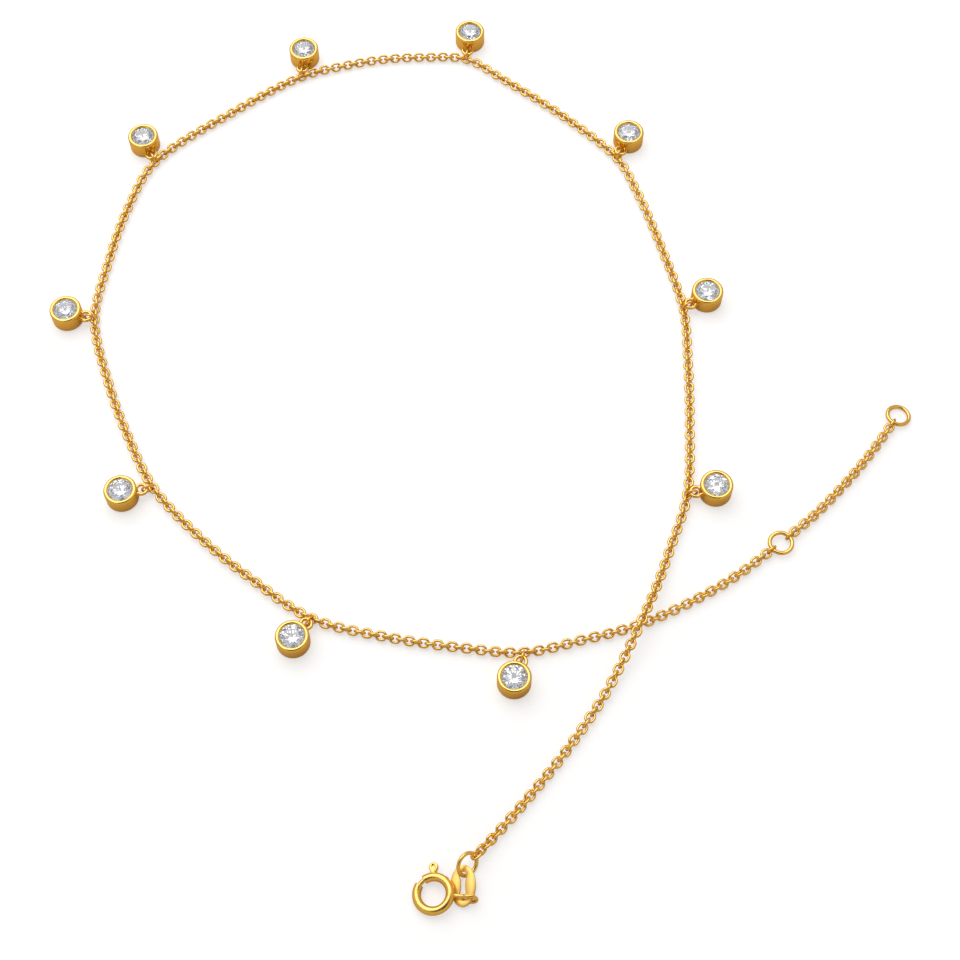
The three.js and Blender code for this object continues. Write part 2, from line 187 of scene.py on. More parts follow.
# Chain's route, with the turn of its links away from the viewer
ChainPoint = namedtuple("ChainPoint", "x y z twist", defaults=(CHAIN_HEIGHT, 0.0))
CLASP_SIDE_ROUTE = [
    ChainPoint(2.6, -62.5, 0.95, 15),
    ChainPoint(6.4, -58.1, 0.74, 15),
    ChainPoint(12.1, -51.0, twist=12),
    ChainPoint(17.2, -43.6, 0.82, -8),
    ChainPoint(20.1, -38.4, 1.45, -15),
    ChainPoint(22.7, -33.1, 2.37, -15),
    ChainPoint(25.1, -27.6, 1.45, -15),
    ChainPoint(27.2, -21.9, 0.82, -15),
    ChainPoint(30.1, -13.3, twist=-15),
    ChainPoint(31.1, -1.5, twist=-18),
    ChainPoint(31.4, 9.0, twist=-18),
    ChainPoint(31.2, 17.7, twist=-18),
    ChainPoint(28.6, 28.2, twist=-18),
    ChainPoint(25.0, 39.6, twist=-8),
    ChainPoint(22.3, 45.6, twist=10),
    ChainPoint(14.3, 53.7, twist=18),
    ChainPoint(4.9, 61.1, twist=18),
    ChainPoint(-1.4, 65.5, twist=6),
    ChainPoint(-8.0, 65.9, twist=2),
]
TOP_OF_LOOP = ChainPoint(-14.5, 65.5, twist=2)
TAIL_SIDE_ROUTE = [
    ChainPoint(-20.9, 64.2, twist=2),
    ChainPoint(-27.9, 61.9, twist=8),
    ChainPoint(-38.7, 54.6, twist=15),
    ChainPoint(-50.1, 44.85, twist=12),
    ChainPoint(-53.5, 36.2, twist=15),
    ChainPoint(-55.6, 26.0, twist=12),
    ChainPoint(-56.6, 15.9, twist=-10),
    ChainPoint(-53.3, 4.4, twist=-18),
    ChainPoint(-49.9, -3.8, twist=-15),
    ChainPoint(-45.4, -12.3, twist=-12),
    ChainPoint(-37.6, -20.6, twist=-18),
    ChainPoint(-30.7, -26.3, twist=-18),
    ChainPoint(-22.1, -32.2, twist=-10),
    ChainPoint(-11.8, -34.9, twist=-5),
    ChainPoint(-2.0, -36.4, twist=-4),
    ChainPoint(6.8, -37.1, twist=-6),
    ChainPoint(14.7, -35.3, twist=-4),
    ChainPoint(22.7, -33.0, twist=8),
    ChainPoint(31.4, -28.8, twist=12),
    ChainPoint(36.5, -25.6, twist=12),
]
EXTENSION_ROUTE = [
    ChainPoint(47.9, -16.4, twist=12),
    ChainPoint(53.0, -11.1, twist=12),
    ChainPoint(57.0, -6.3, twist=12),
]

# Colours, linear
GOLD_LIGHT = (1.0, 0.74, 0.27, 1)
GOLD_DEEP = (0.98, 0.66, 0.18, 1)
DIAMOND_CLEAR = (1.0, 1.0, 1.0, 1)
DIAMOND_COOL = (0.94, 0.97, 1.0, 1)
# Painted glow: a faint cool light that the stones give off, brightening them
DIAMOND_PAINTED_GLOW = 0.045
DIAMOND_PAINTED_GLOW_COLOUR = (0.75, 0.92, 1.25, 1)
DIAMOND_IOR = 2.42
TABLE_WHITE = (0.62, 0.62, 0.62, 1)
# Painted warm reflection tone of the table, seen by the metal and in bounced light
TABLE_PAINTED_REFLECTION_WARM = (0.78, 0.57, 0.27, 1)
ROOM_WHITE = (1, 1, 1, 1)
ROOM_WARM = (1.15, 0.92, 0.58, 1)
BLACK = (0, 0, 0, 1)
CARD_DARK = (0.012, 0.012, 0.016, 1)

# Marks in the finishes
GOLD_CLOUD_SCALE = 700
GOLD_HANDLING_SCALE = 2600
SCRATCH_STRETCH = (3000, 26000, 9000)
SCRATCH_DEPTH = 2e-5
DIAMOND_CLOUD_SCALE = 500
DIAMOND_POLISH_SCALE = 4000
DIAMOND_ROUGHNESS = 0.015
TABLE_TOOTH_SCALE = 300
TABLE_ROUGHNESS = 0.7
CARD_FELT_SCALE = 200
CARD_ROUGHNESS = 0.8
MATT_SPREAD = 0.2

# Studio
ROOM_LIGHT = 0.5
TABLE_GLOW = 0.9
TABLE_HALF_SIZE = 900.0
TABLE_DROP = 0.03
CARD_SIZE = 210.0
Softbox = namedtuple("Softbox", "name place size power")
SOFTBOXES = [
    Softbox("key_softbox", (-150.0, 250.0, 520.0), 700.0, 2.1),
]

MERGE_DISTANCE = 1e-4
CREASE = 35
LINK_CREASE = 80
CORNER_ANGLE = 1.0  # radians


class Tone:
    """A shader node's output that Python's operators work on."""

    def __init__(self, finish, output):
        self.finish = finish
        self.output = output

    def math(self, operation, first, second):
        return self.finish.node("ShaderNodeMath", {"operation": operation}, {0: first, 1: second})

    def __add__(self, other):
        return self.math("ADD", self, other)

    def __radd__(self, other):
        return self.math("ADD", other, self)

    def __sub__(self, other):
        return self.math("SUBTRACT", self, other)

    def __rsub__(self, other):
        return self.math("SUBTRACT", other, self)

    def __mul__(self, other):
        return self.math("MULTIPLY", self, other)

    def __rmul__(self, other):
        return self.math("MULTIPLY", other, self)


class Finish:
    """Shader nodes of a material or of the room's light, in the making."""

    def __init__(self, owner, shader="Principled BSDF"):
        owner.use_nodes = True
        self.tree = owner.node_tree
        self.shader = self.tree.nodes[shader]

    def node(self, kind, settings=None, inputs=None, output=0):
        """Adds a node, sets it, feeds its sockets and returns one of its outputs."""
        made = self.tree.nodes.new(kind)
        for key, value in (settings or {}).items():
            setattr(made, key, value)
        for key, value in (inputs or {}).items():
            self.feed(made.inputs[key], value)
        return Tone(self, made.outputs[output])

    def feed(self, socket, value):
        if isinstance(value, Tone):
            self.tree.links.new(value.output, socket)
        else:
            socket.default_value = value

    def set(self, **values):
        """Feeds the shader's sockets, named with underscores for spaces."""
        for key, value in values.items():
            self.feed(self.shader.inputs[key.replace("_", " ")], value)

    def noise(self, place, scale, detail):
        return self.node(
            "ShaderNodeTexNoise", inputs={"Vector": place, "Scale": scale, "Detail": detail}, output="Fac")

    def blend(self, factor, first, second):
        return self.node(
            "ShaderNodeMix", {"data_type": "RGBA"}, {0: factor, 6: first, 7: second}, output=2)

    def stretched(self, place, stretch):
        return self.node("ShaderNodeMapping", inputs={"Vector": place, "Scale": stretch})


def gold(name, roughness, roughness_spread, scratch_strength):
    """Yellow gold with soft tone changes, uneven polish and fine scratches."""
    material = bpy.data.materials.new(name)
    finish = Finish(material)
    place = finish.node("ShaderNodeTexCoord", output="Object")
    cloud = finish.noise(place, GOLD_CLOUD_SCALE, 3)
    handling = finish.noise(place, GOLD_HANDLING_SCALE, 4)
    scratches = finish.noise(finish.stretched(place, SCRATCH_STRETCH), 1, 2)
    finish.set(
        Base_Color=finish.blend(cloud, GOLD_LIGHT, GOLD_DEEP),
        Metallic=1.0,
        Roughness=roughness + roughness_spread * (handling - 0.5),
        Normal=finish.node("ShaderNodeBump", inputs={
            "Strength": scratch_strength, "Distance": SCRATCH_DEPTH, "Height": scratches}, output="Normal"),
    )
    return material


def diamond():
    """Clear stone with a trace of cool tint, polish marks and a faint cool painted glow that brightens it.
    """
    material = bpy.data.materials.new("cut_diamond")
    finish = Finish(material)
    place = finish.node("ShaderNodeTexCoord", output="Object")
    cloud = finish.noise(place, DIAMOND_CLOUD_SCALE, 2)
    polish = finish.noise(place, DIAMOND_POLISH_SCALE, 3)
    finish.set(
        Base_Color=finish.blend(cloud, DIAMOND_CLEAR, DIAMOND_COOL),
        Roughness=DIAMOND_ROUGHNESS * polish,
        IOR=DIAMOND_IOR,
        Transmission_Weight=1.0,
        # Painted glow: the stone gives off a faint cool light of its own
        Emission_Color=DIAMOND_PAINTED_GLOW_COLOUR,
        Emission_Strength=DIAMOND_PAINTED_GLOW,
    )
    return material


def table_white():
    """Matt white table with a barely seen paper tooth; the metal mirrors it in a painted warm reflection
    tone, which also tints the light it bounces.
    """
    material = bpy.data.materials.new("white_table")
    finish = Finish(material)
    place = finish.node("ShaderNodeTexCoord", output="Object")
    tooth = finish.noise(place, TABLE_TOOTH_SCALE, 4)
    seen = finish.node("ShaderNodeLightPath", output="Is Camera Ray")
    finish.set(
        # Painted reflection: rays other than the camera's see the table warm, so the metal mirrors a warm
        # floor
        Base_Color=finish.blend(seen, TABLE_PAINTED_REFLECTION_WARM, TABLE_WHITE),
        Roughness=TABLE_ROUGHNESS + MATT_SPREAD * tooth,
        Emission_Color=finish.blend(seen, BLACK, TABLE_WHITE),
        Emission_Strength=TABLE_GLOW,
    )
    return material


def card_dark():
    """Matt dark card that the polished metal and the stones mirror."""
    material = bpy.data.materials.new("dark_card")
    finish = Finish(material)
    place = finish.node("ShaderNodeTexCoord", output="Object")
    felt = finish.noise(place, CARD_FELT_SCALE, 3)
    finish.set(Base_Color=CARD_DARK, Roughness=CARD_ROUGHNESS + MATT_SPREAD * felt)
    return material


def room_light():
    """Even light that is white on the table and in the stones, and warm where the metal mirrors it."""
    world = bpy.data.worlds.new("studio_room")
    finish = Finish(world, "Background")
    mirrored = finish.node("ShaderNodeLightPath", output="Is Glossy Ray")
    through = finish.node("ShaderNodeLightPath", output="Is Transmission Ray")
    warm = mirrored * (1 - through)
    finish.set(Color=finish.blend(warm, ROOM_WHITE, ROOM_WARM), Strength=ROOM_LIGHT)
    return world


def centre_of(node):
    """Middle of a CAD node's box, in millimetres."""
    low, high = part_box(node)
    return (low + high) / 2 / MM


def sealed(shape):
    """Merges a shape's doubled points and turns its faces outwards."""
    bmesh.ops.remove_doubles(shape, verts=shape.verts, dist=MERGE_DISTANCE)
    bmesh.ops.recalc_face_normals(shape, faces=shape.faces)
    return shape


def moved(shape, matrix):
    bmesh.ops.transform(shape, matrix=matrix, verts=shape.verts)
    return shape


def rounded(shape, geom, offset, segments, affect):
    bmesh.ops.bevel(
        shape, geom=geom, offset=offset, segments=segments, profile=0.5, affect=affect, material=-1)


def sharp_edges(shape):
    """Edges where two faces meet in a corner."""
    return [edge for edge in shape.edges if edge.is_manifold and edge.calc_face_angle() > CORNER_ANGLE]


def wire_ring(radius, wire, steps, sides, length=None):
    """A ring of round wire flat in XY, drawn out along X where an outer length is given."""
    shape = bmesh.new()
    bmesh.ops.create_circle(shape, segments=sides, radius=wire / 2)
    moved(shape, Matrix.Translation((radius, 0, 0)) @ Matrix.Rotation(math.pi / 2, 4, "X"))
    bmesh.ops.spin(
        shape, geom=shape.verts[:] + shape.edges[:], axis=(0, 0, 1), cent=(0, 0, 0),
        angle=2 * math.pi, steps=steps, use_merge=True)
    if length:
        pull = (length - wire) / 2 - radius
        for vert in shape.verts:
            vert.co.x += math.copysign(pull, vert.co.x)
    return sealed(shape)


def bent_rod(rod_radius, bend_radius, start, end, sides, steps):
    """A capped round rod that follows part of a circle in XY."""
    shape = bmesh.new()
    bmesh.ops.create_circle(shape, cap_ends=True, segments=sides, radius=rod_radius)
    return swept(shape, bend_radius, start, end, steps)


def swept(section, bend_radius, start, end, steps):
    """Sweeps a flat section, drawn in XY, along part of a circle in XY."""
    moved(section, Matrix.Rotation(math.radians(start), 4, "Z")
          @ Matrix.Translation((bend_radius, 0, 0)) @ Matrix.Rotation(math.pi / 2, 4, "X"))
    bmesh.ops.spin(
        section, geom=section.verts[:] + section.edges[:] + section.faces[:], axis=(0, 0, 1),
        cent=(0, 0, 0), angle=math.radians(end - start), steps=steps)
    return sealed(section)


def combined(shape, tool, operation):
    """Joins one shape with another or cuts it by the other, and uses both up."""
    objects = []
    for part in (shape, tool):
        mesh = bpy.data.meshes.new("solid")
        part.to_mesh(mesh)
        part.free()
        objects.append(bpy.data.objects.new("solid", mesh))
        bpy.context.scene.collection.objects.link(objects[-1])
    boolean = objects[0].modifiers.new("boolean", "BOOLEAN")
    boolean.operation = operation
    boolean.solver = "EXACT"
    boolean.object = objects[1]
    result = bmesh.new()
    result.from_object(objects[0], bpy.context.evaluated_depsgraph_get())
    for solid in objects:
        bpy.data.meshes.remove(solid.data)
    return result


def finished(name, mesh, material, node, body, crease=CREASE):
    """Puts a mesh in metres on its body, in place of its CAD node."""
    mesh.shade_smooth()
    mesh.set_sharp_from_angle(angle=math.radians(crease))
    mesh.materials.append(material)
    made = bpy.data.objects.new(name, mesh)
    bpy.context.scene.collection.objects.link(made)
    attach(made, body)
    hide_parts(node)
    return made


def piece(name, shape, material, node, body="necklace"):
    """Makes a shape in millimetres a finished piece that stands for a CAD node."""
    moved(shape, Matrix.Scale(MM, 4))
    mesh = bpy.data.meshes.new(name)
    shape.to_mesh(mesh)
    shape.free()
    return finished(name, mesh, material, node, body)


def ring_frame(ring):
    turn = Euler((math.radians(ring.lean), math.radians(-ring.rise), math.radians(ring.heading)), "XYZ")
    return Matrix.Translation(centre_of(ring.node)) @ turn.to_matrix().to_4x4()


def ring_piece(name, ring, material):
    shape = wire_ring(ring.radius, ring.wire, RING_STEPS, WIRE_SIDES)
    return piece(name, moved(shape, ring_frame(ring)), material, ring.node)


Drop = namedtuple("Drop", "number frame reach chain_point")


def drops():
    """Each drop's place: its frame runs along X from its point on the chain to its bezel's axis."""
    found = []
    for number in DROP_NUMBERS:
        axis = centre_of(f"stone_{number:02d}")
        link = centre_of(f"drop_link_{number:02d}")
        away = (axis - link) * Vector((1, 1, 0))
        reach = 2 * away.length - EYE_REACH
        chain_point = Vector((axis.x, axis.y, CHAIN_HEIGHT)) - away.normalized() * reach
        turn = Matrix.Rotation(math.atan2(away.y, away.x), 4, "Z")
        place = Matrix.Translation((chain_point.x, chain_point.y, 0)) @ turn
        found.append(Drop(number, place, reach, chain_point))
    return found


def bezel_shape():
    """Foot, wall, rolled rim and seat of the cup turned on its axis, with the eye soldered on."""
    corners = [
        (BEZEL_BACK_RADIUS, 0),
        (BEZEL_FOOT_RADIUS, 0),
        (BEZEL_RADIUS, BEZEL_HEIGHT),
        (BEZEL_OPENING, BEZEL_INNER_HEIGHT),
        (BEZEL_OPENING, BEZEL_EDGE_HEIGHT),
        (BEZEL_BORE_RADIUS, BEZEL_BORE_TOP),
        (BEZEL_BORE_RADIUS, BEZEL_BORE_BOTTOM),
        (BEZEL_BACK_RADIUS, BEZEL_BACK_HEIGHT),
    ]
    cup = bmesh.new()
    points = [cup.verts.new((x, 0, z)) for x, z in corners]
    cup.faces.new(points)
    foot, shoulder, lip = points[1:4]
    rounded(cup, [foot], BEZEL_FOOT_ROUND, BEZEL_ROUND_STEPS, "VERTICES")
    rounded(cup, [shoulder], BEZEL_SHOULDER_ROUND, BEZEL_ROUND_STEPS, "VERTICES")
    rounded(cup, [lip], BEZEL_LIP_ROUND, BEZEL_LIP_STEPS, "VERTICES")
    bmesh.ops.delete(cup, geom=cup.faces[:], context="FACES_ONLY")
    bmesh.ops.remove_doubles(cup, verts=cup.verts, dist=BEZEL_MERGE)
    bmesh.ops.spin(
        cup, geom=cup.verts[:] + cup.edges[:], axis=(0, 0, 1), cent=(0, 0, 0),
        angle=2 * math.pi, steps=BEZEL_STEPS, use_merge=True)
    eye = wire_ring(EYE_RADIUS, EYE_WIRE, EYE_STEPS, WIRE_SIDES)
    moved(eye, Matrix.Translation((-EYE_REACH, 0, EYE_HEIGHT)))
    return combined(sealed(cup), eye, "UNION")


def drop_pieces(material):
    """A setting and a connecting link for each stone."""
    bezel = bezel_shape()
    link = wire_ring(DROP_LINK_RADIUS, DROP_LINK_WIRE, DROP_LINK_STEPS, DROP_LINK_SIDES)
    moved(link, Matrix.Rotation(math.pi / 2, 4, "X"))
    for drop in drops():
        number = f"{drop.number:02d}"
        at_axis = drop.frame @ Matrix.Translation((drop.reach, 0, 0))
        piece(f"setting_{number}", moved(bezel.copy(), at_axis), material, f"bezel_{number}")
        at_link = Matrix.Translation(centre_of(f"drop_link_{number}")) @ drop.frame.to_3x3().to_4x4()
        piece(f"connector_{number}", moved(link.copy(), at_link), material, f"drop_link_{number}")
    bezel.free()
    link.free()


def clasp_frame():
    """The clasp's own frame, with its ring flat in XY, from the trigger's joint."""
    joint = frame["joints"][0]
    lean = math.asin(joint["axis"][0])
    return Matrix.Translation(Vector(joint["pos_m"]) / MM) @ Matrix.Rotation(-lean, 4, "Y")


def spring_ring_shape():
    """The clasp's hollow ring with rounded lips, its nub slot and its eyelet on a stem."""
    far_lip = MOUTH_START + 360
    tube = bent_rod(
        CLASP_TUBE_RADIUS, CLASP_RING_RADIUS, MOUTH_END, far_lip, CLASP_TUBE_SIDES, CLASP_TUBE_STEPS)
    lips = {edge for face in tube.faces if len(face.verts) > 4 for edge in face.edges}
    rounded(tube, list(lips), LIP_ROUND, LIP_STEPS, "EDGES")

    loop = wire_ring(EYELET_RADIUS, EYELET_WIRE, EYELET_STEPS, WIRE_SIDES, EYELET_LENGTH)
    moved(loop, Matrix.Rotation(math.radians(EYELET_LEAN), 4, "X")
          @ Matrix.Translation((EYELET_REACH, 0, EYELET_HEIGHT)) @ Matrix.Rotation(math.pi / 2, 4, "X"))
    stem = bmesh.new()
    bmesh.ops.create_cone(
        stem, cap_ends=True, segments=WIRE_SIDES, radius1=EYELET_WIRE / 2, radius2=EYELET_WIRE / 2,
        depth=STEM_END - STEM_START)
    moved(stem, Matrix.Translation(((STEM_START + STEM_END) / 2, 0, STEM_HEIGHT))
          @ Matrix.Rotation(math.pi / 2, 4, "Y"))
    eyelet = combined(loop, stem, "UNION")
    moved(eyelet, Matrix.Rotation(math.radians(EYELET_HEADING), 4, "Z"))
    ring = combined(tube, eyelet, "UNION")

    bore = bent_rod(
        CLASP_BORE_RADIUS, CLASP_RING_RADIUS, MOUTH_END - CLASP_BORE_OVERRUN,
        far_lip + CLASP_BORE_OVERRUN, CLASP_BORE_SIDES, CLASP_TUBE_STEPS)
    ring = combined(ring, bore, "DIFFERENCE")
    slot = bmesh.new()
    bmesh.ops.create_grid(slot, x_segments=1, y_segments=1, size=0.5)
    moved(slot, Matrix.Diagonal((NUB_SLOT_OUTER - NUB_SLOT_INNER, NUB_SLOT_HEIGHT, 1, 1)))
    middle = (NUB_SLOT_OUTER + NUB_SLOT_INNER) / 2
    slot = swept(slot, middle, NUB_SLOT_START, NUB_SLOT_END, NUB_SLOT_STEPS)
    return combined(ring, slot, "DIFFERENCE")


def trigger_shape():
    """The tongue in the clasp's mouth, and the thumb nub on its neck with a pressed dimple."""
    tongue = bent_rod(
        TONGUE_RADIUS, CLASP_RING_RADIUS, TONGUE_START, TONGUE_END, TONGUE_SIDES, TONGUE_STEPS)
    ends = {edge for face in tongue.faces if len(face.verts) > 4 for edge in face.edges}
    rounded(tongue, list(ends), TONGUE_ROUND, TONGUE_ROUND_STEPS, "EDGES")

    nub = bmesh.new()
    flank = math.asin((NUB_RADIUS - NUB_FOOT_RADIUS) / (NUB_CENTRE - NUB_FOOT_CENTRE))
    points = []
    for side in range(NUB_SIDES):
        turn = 2 * math.pi * side / NUB_SIDES
        low = math.sin(turn) < -math.sin(flank)
        radius, centre = (NUB_FOOT_RADIUS, NUB_FOOT_CENTRE) if low else (NUB_RADIUS, NUB_CENTRE)
        x, y = radius * math.cos(turn), centre + radius * math.sin(turn)
        points.append(nub.verts.new((x, y, -NUB_THICKNESS / 2)))
    nub.faces.new(points)
    grown = bmesh.ops.extrude_face_region(nub, geom=nub.faces[:])
    lifted = [part for part in grown["geom"] if isinstance(part, bmesh.types.BMVert)]
    bmesh.ops.translate(nub, verts=lifted, vec=(0, 0, NUB_THICKNESS))
    sealed(nub)
    rounded(nub, sharp_edges(nub), NUB_ROUND, NUB_ROUND_STEPS, "EDGES")

    dimple = bmesh.new()
    bmesh.ops.create_uvsphere(dimple, u_segments=DIMPLE_SIDES, v_segments=DIMPLE_RINGS, radius=1)
    moved(dimple, Matrix.Translation(DIMPLE_PLACE) @ Matrix.Diagonal((*DIMPLE_SIZE, 1)))
    nub = combined(nub, dimple, "DIFFERENCE")

    neck = bmesh.new()
    neck_length = NUB_FOOT_CENTRE - CLASP_RING_RADIUS
    bmesh.ops.create_cube(neck, size=1)
    moved(neck, Matrix.Translation((0, CLASP_RING_RADIUS + neck_length / 2, 0))
          @ Matrix.Diagonal((NECK_WIDTH, neck_length, NECK_THICKNESS, 1)))
    return combined(combined(tongue, neck, "UNION"), nub, "UNION")


def tag_shape():
    """Oval plate with a waisted slot."""
    shape = bmesh.new()
    bmesh.ops.create_circle(shape, segments=SLOT_LOBE_SIDES, radius=SLOT_LOBE_RADIUS)
    moved(shape, Matrix.Rotation(math.pi / SLOT_LOBE_SIDES, 4, "Z"))
    for vert in shape.verts:
        vert.co.y += math.copysign(SLOT_LOBE_REACH, vert.co.y)
    sides = [edge for edge in shape.edges if edge.calc_length() > SLOT_LOBE_REACH]
    bmesh.ops.subdivide_edges(shape, edges=sides, cuts=SLOT_WAIST_CUTS)
    for vert in shape.verts:
        along = abs(vert.co.y) / SLOT_LOBE_REACH
        if along < 1:
            width = SLOT_WAIST + (SLOT_LOBE_RADIUS - SLOT_WAIST) * along ** 2
            vert.co.x = math.copysign(width, vert.co.x)
    slot_edges = shape.edges[:]
    outline = bmesh.ops.create_circle(shape, segments=len(slot_edges), radius=1)["verts"]
    bmesh.ops.scale(shape, verts=outline, vec=(TAG_HALF_WIDTH, TAG_HALF_LENGTH, 1))
    bmesh.ops.bridge_loops(shape, edges=shape.edges[:])
    bmesh.ops.translate(shape, verts=shape.verts, vec=(0, 0, -TAG_THICKNESS / 2))
    grown = bmesh.ops.extrude_face_region(shape, geom=shape.faces[:])
    lifted = [part for part in grown["geom"] if isinstance(part, bmesh.types.BMVert)]
    bmesh.ops.translate(shape, verts=lifted, vec=(0, 0, TAG_THICKNESS))
    sealed(shape)
    rounded(shape, sharp_edges(shape), TAG_ROUND, TAG_ROUND_STEPS, "EDGES")
    return shape


def clasp_pieces(polished, satin):
    """The spring ring, its trigger and the tag, in the clasp's frame."""
    place = clasp_frame()
    piece("spring_ring", moved(spring_ring_shape(), place), polished, "clasp_ring")
    piece("spring_trigger", moved(trigger_shape(), place), polished, "clasp_trigger", "trigger")
    turn = Euler([math.radians(angle) for angle in TAG_TURN], "XYZ").to_matrix().to_4x4()
    tag_place = place @ Matrix.Translation(TAG_PLACE) @ turn
    piece("slotted_tag", moved(tag_shape(), tag_place), satin, "clasp_tag")


Hold = namedtuple("Hold", "centre start up")


def hold_ring(ring, toward):
    """Where a ring's wire is held by the end link of a chain that runs towards a point."""
    place = ring_frame(ring)
    near = place.inverted() @ toward
    near.z = 0
    on_wire = near.normalized() * ring.radius
    wire_run = place.to_3x3() @ Vector((-on_wire.y, on_wire.x, 0))
    held = place @ on_wire
    along = (toward - held).normalized()
    up = along.cross(wire_run).normalized()
    return Hold(held + along * END_LINK_OFFSET, held + along * CHAIN_START_OFFSET, up)


def smooth_path(points):
    """Closely spaced points of a centripetal Catmull-Rom curve through the given points."""
    knots = np.array(points, float)
    knots = np.vstack([2 * knots[0] - knots[1], knots, 2 * knots[-1] - knots[-2]])
    spans = np.sqrt(np.linalg.norm(np.diff(knots, axis=0), axis=1))[:, None]
    t = np.linspace(0, 1, PATH_SAMPLES, endpoint=False)[:, None]
    path = []
    for i in range(1, len(knots) - 2):
        p0, p1, p2, p3 = knots[i - 1:i + 3]
        d0, d1, d2 = spans[i - 1:i + 2]
        leave = d1 * ((p1 - p0) / d0 - (p2 - p0) / (d0 + d1) + (p2 - p1) / d1)
        arrive = d1 * ((p2 - p1) / d1 - (p3 - p1) / (d1 + d2) + (p3 - p2) / d2)
        path.append(
            (1 + 2 * t) * (1 - t) ** 2 * p1 + t * (1 - t) ** 2 * leave
            + t ** 2 * (3 - 2 * t) * p2 + t ** 2 * (t - 1) * arrive)
    return np.vstack([*path, knots[-2:-1]])


class ChainRun:
    """A chain from one ring to another along its route, and the places of its links."""

    def __init__(self, first_ring, route, last_ring, chain_points=()):
        points = [Vector((row.x, row.y, row.z)) for row in route]
        first = hold_ring(first_ring, points[0])
        last = hold_ring(last_ring, points[-1])
        self.path = smooth_path([first.centre, first.start, *points, last.start, last.centre])
        steps = np.linalg.norm(np.diff(self.path, axis=0), axis=1)
        self.run = np.concatenate([[0], np.cumsum(steps)])
        self.length = self.run[-1]

        stops = [0, *sorted(self.distance_of(point) for point in chain_points), self.length]
        self.links = self.spread(stops)
        self.tangents = self.directions(self.links)
        row_distances = [self.distance_of(point) for point in points]
        twists = [math.radians(row.twist) for row in route]
        end_twists = [self.twist_of(hold.up, s) for hold, s in ((first, 0), (last, self.length))]
        self.twists = np.interp(
            self.links, [0, *row_distances, self.length], [end_twists[0], *twists, end_twists[1]])

    def distance_of(self, point):
        return self.run[np.argmin(np.linalg.norm(self.path - np.array(point), axis=1))]

    def at(self, distances):
        return np.stack([np.interp(distances, self.run, self.path[:, k]) for k in range(3)], axis=-1)

    def directions(self, distances):
        reach = LINK_LENGTH / 4
        chord = self.at(np.asarray(distances) + reach) - self.at(np.asarray(distances) - reach)
        return chord / np.linalg.norm(chord, axis=-1, keepdims=True)

    def spread(self, stops):
        """Distances of the links: upright at both ends, and flat where a drop hangs."""
        flat = [False, *[True] * (len(stops) - 2), False]
        distances = []
        for i in range(len(stops) - 1):
            odd = flat[i] != flat[i + 1]
            pairs = (stops[i + 1] - stops[i]) / LINK_PITCH - odd
            count = 2 * round(pairs / 2) + odd
            distances.append(np.linspace(stops[i], stops[i + 1], count, endpoint=False))
        return np.concatenate([*distances, stops[-1:]])

    def sides(self, distances):
        """Upper side and left side of the chain at some distances, square to its run."""
        along = self.directions(distances)
        up = np.array([0, 0, 1.0]) - along * along[..., 2:]
        up = up / np.linalg.norm(up, axis=-1, keepdims=True)
        return up, np.cross(along, up)

    def facing(self, distances):
        """Roll that turns a flat link to the viewer."""
        up, left = self.sides(distances)
        to_viewer = np.array(CAMERA_PLACE) - self.at(distances)
        return np.arctan2((to_viewer * left).sum(-1), (to_viewer * up).sum(-1))

    def twist_of(self, link_up, distance):
        up, left = self.sides(distance)
        return math.atan2(np.dot(link_up, left), np.dot(link_up, up)) - self.facing(distance)

    def places(self, chance):
        """Turn and centre of each link, flat and upright ones by turns."""
        up, left = self.sides(self.links)
        jitter = np.radians([chance.uniform(-LINK_JITTER, LINK_JITTER) for _ in self.links])
        jitter[[0, -1]] = 0
        quarter = (np.arange(len(self.links)) % 2 == 0) * math.pi / 2
        roll = (self.facing(self.links) + self.twists + jitter + quarter)[:, None]
        normal = np.cos(roll) * up + np.sin(roll) * left
        across = np.cross(normal, self.tangents)
        return np.stack([self.tangents, across, normal], axis=-1), self.at(self.links)


def chain_piece(name, turns, centres, material, node):
    """Many copies of one link joined in one mesh."""
    link = wire_ring((LINK_WIDTH - LINK_WIRE) / 2, LINK_WIRE, LINK_STEPS, LINK_SIDES, LINK_LENGTH)
    link.verts.index_update()
    corners = np.array([vert.co for vert in link.verts])
    faces = np.array([[vert.index for vert in face.verts] for face in link.faces])
    link.free()
    placed = np.einsum("lij,vj->lvi", turns, corners) + centres[:, None]
    shift = np.arange(len(centres))[:, None, None] * len(corners)
    mesh = bpy.data.meshes.new(name)
    mesh.from_pydata((placed * MM).reshape(-1, 3), [], (faces[None] + shift).reshape(-1, faces.shape[1]))
    return finished(name, mesh, material, node, "necklace", LINK_CREASE)


def chain_pieces(material):
    """The main chain in two pieces that meet at the top of the loop, and the extension."""
    chance = random.Random(LINK_JITTER_SEED)
    main_route = [*CLASP_SIDE_ROUTE, TOP_OF_LOOP, *TAIL_SIDE_ROUTE]
    main = ChainRun(TAG_JUMP_RING, main_route, ADJUSTER_RING, [drop.chain_point for drop in drops()])
    turns, centres = main.places(chance)
    top = main.distance_of(TOP_OF_LOOP[:3])
    before = main.links < top
    chain_piece("links_clasp_side", turns[before], centres[before], material, "chain_clasp_side")
    chain_piece("links_tail_side", turns[~before], centres[~before], material, "chain_tail_side")
    extension = ChainRun(ADJUSTER_RING, EXTENSION_ROUTE, END_RING)
    chain_piece("links_extension", *extension.places(chance), material, "extension_chain")


def stage_sheet(name, half_size, material):
    shape = bmesh.new()
    bmesh.ops.create_grid(shape, x_segments=1, y_segments=1, size=half_size * MM)
    mesh = bpy.data.meshes.new(name)
    shape.to_mesh(mesh)
    shape.free()
    mesh.materials.append(material)
    sheet = bpy.data.objects.new(name, mesh)
    bpy.context.scene.collection.objects.link(sheet)
    return sheet


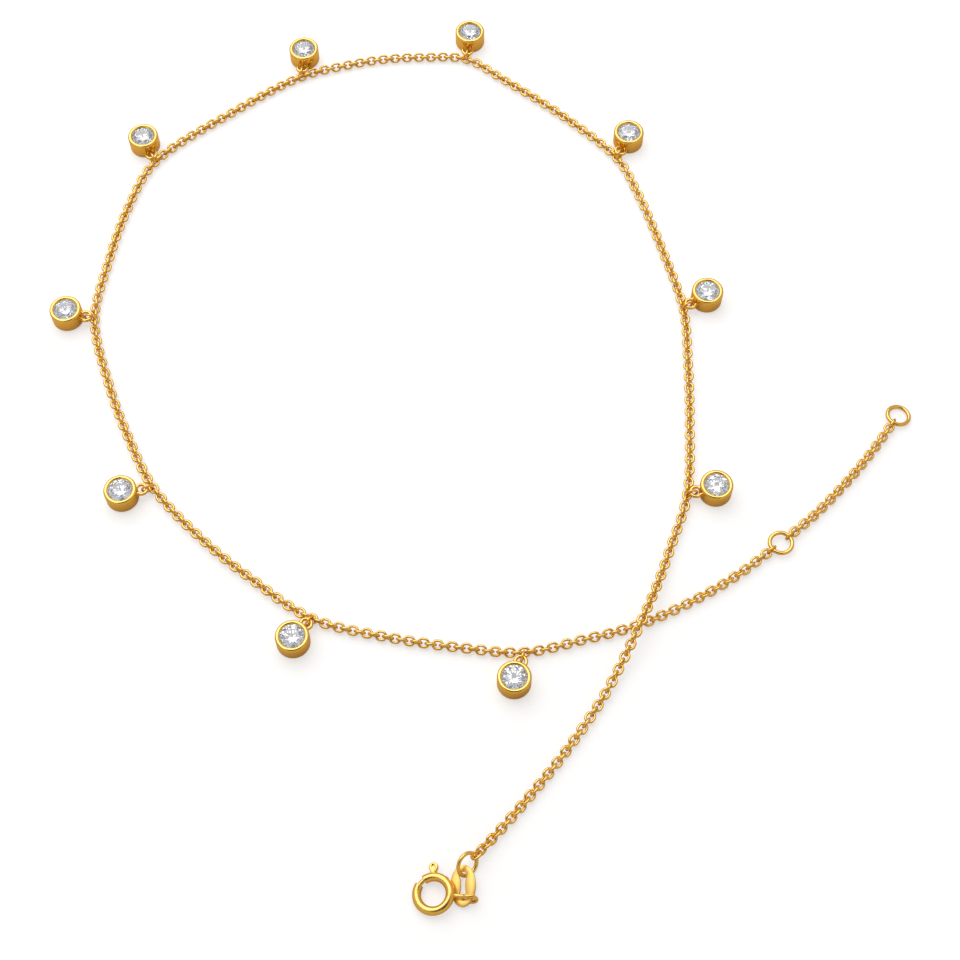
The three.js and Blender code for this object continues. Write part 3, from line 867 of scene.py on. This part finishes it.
def aimed(place, target):
    """A matrix at a place whose -Z looks at a target, in metres."""
    start = Vector(place) * MM
    look = Vector(target) * MM - start
    return Matrix.Translation(start) @ look.to_track_quat("-Z", "Y").to_matrix().to_4x4()


def studio():
    """White table, even room light, soft boxes and a dark card round the camera."""
    table = stage_sheet("table_top", TABLE_HALF_SIZE, table_white())
    table.location.z = -TABLE_DROP * MM
    card = stage_sheet("dark_card", CARD_SIZE / 2, card_dark())
    card.matrix_world = aimed(CAMERA_PLACE, CAMERA_AIM)
    card.visible_camera = False
    card.visible_shadow = False
    bpy.context.scene.world = room_light()
    for box in SOFTBOXES:
        light = bpy.data.lights.new(box.name, "AREA")
        light.size = box.size * MM
        light.energy = box.power
        lamp = bpy.data.objects.new(box.name, light)
        lamp.matrix_world = aimed(box.place, CAMERA_AIM)
        lamp.visible_camera = False
        bpy.context.scene.collection.objects.link(lamp)


def camera():
    lens = bpy.data.cameras.new("camera")
    lens.lens = CAMERA_LENS
    lens.clip_start = CAMERA_NEAR * MM
    lens.clip_end = CAMERA_FAR * MM
    eye = bpy.data.objects.new("camera", lens)
    eye.matrix_world = aimed(CAMERA_PLACE, CAMERA_AIM)
    bpy.context.scene.collection.objects.link(eye)
    bpy.context.scene.camera = eye


polished_gold = gold("polished_gold", roughness=0.12, roughness_spread=0.06, scratch_strength=0.03)
chain_gold = gold("chain_gold", roughness=0.18, roughness_spread=0.08, scratch_strength=0.0)
clasp_gold = gold("clasp_gold", roughness=0.27, roughness_spread=0.08, scratch_strength=0.03)
satin_gold = gold("satin_gold", roughness=0.3, roughness_spread=0.06, scratch_strength=0.02)
cut_diamond = diamond()

for number in DROP_NUMBERS:
    stone = frame["nodes"][f"stone_{number:02d}"]
    stone.data.materials.clear()
    stone.data.materials.append(cut_diamond)

drop_pieces(polished_gold)
clasp_pieces(clasp_gold, satin_gold)
ring_piece("jump_ring", TAG_JUMP_RING, clasp_gold)
ring_piece("short_fastening_ring", ADJUSTER_RING, polished_gold)
ring_piece("long_fastening_ring", END_RING, polished_gold)
chain_pieces(chain_gold)

studio()
camera()
bpy.context.scene.view_settings.view_transform = "Standard"
